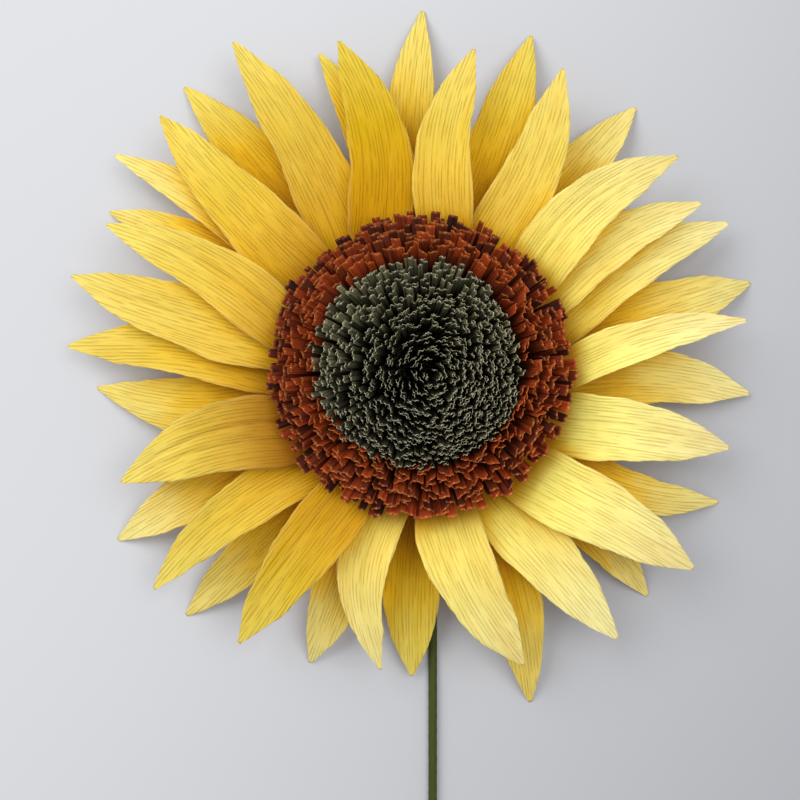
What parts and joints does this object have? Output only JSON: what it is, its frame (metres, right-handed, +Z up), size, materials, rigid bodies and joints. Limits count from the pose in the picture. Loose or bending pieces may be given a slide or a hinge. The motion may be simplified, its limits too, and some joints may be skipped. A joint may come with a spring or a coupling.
{
  "type": "giant paper sunflower",
  "caption": "Giant crepe-paper sunflower on a paper-wound wire stem, lying face up, with a fringed dome-shaped middle inside a splayed ring and pointed petals.",
  "frame": {"origin": "under the middle of the whole flower's box, on the surface it lies on", "axes": "+Z up out of the flower's face, +Y from the stem's cut end towards the head, +X to the right with the stem pointing down"},
  "size_m": [0.3312, 0.556, 0.0611],
  "materials": {
    "petal_paper": "golden crepe paper, matt",
    "rust_paper": "rust brown crepe paper, matt",
    "green_paper": "dark olive crepe paper, matt",
    "leaf_paper": "leaf green crepe paper, matt",
    "stem_wire": "drawn steel wire"
  },
  "bodies": {
    "root": {"stem_wire": "stem_wire", "stem_wrap": "leaf_paper", "calyx": "leaf_paper", "green_fringe_roll": "green_paper", "rust_fringe_roll": "rust_paper", "petal_01": "petal_paper", "petal_02": "petal_paper", "petal_03": "petal_paper", "petal_04": "petal_paper", "petal_05": "petal_paper", "petal_06": "petal_paper", "petal_07": "petal_paper", "petal_08": "petal_paper", "petal_09": "petal_paper", "petal_10": "petal_paper", "petal_11": "petal_paper", "petal_12": "petal_paper", "petal_13": "petal_paper", "petal_14": "petal_paper", "petal_15": "petal_paper", "petal_16": "petal_paper", "petal_17": "petal_paper", "petal_18": "petal_paper", "petal_19": "petal_paper", "petal_20": "petal_paper", "petal_21": "petal_paper", "petal_22": "petal_paper", "petal_23": "petal_paper", "petal_24": "petal_paper", "petal_25": "petal_paper", "petal_26": "petal_paper", "petal_27": "petal_paper", "petal_28": "petal_paper", "petal_29": "petal_paper", "petal_30": "petal_paper", "petal_31": "petal_paper", "petal_32": "petal_paper", "petal_33": "petal_paper", "petal_34": "petal_paper", "petal_35": "petal_paper", "petal_36": "petal_paper", "petal_37": "petal_paper"}
  },
  "joints": []
}
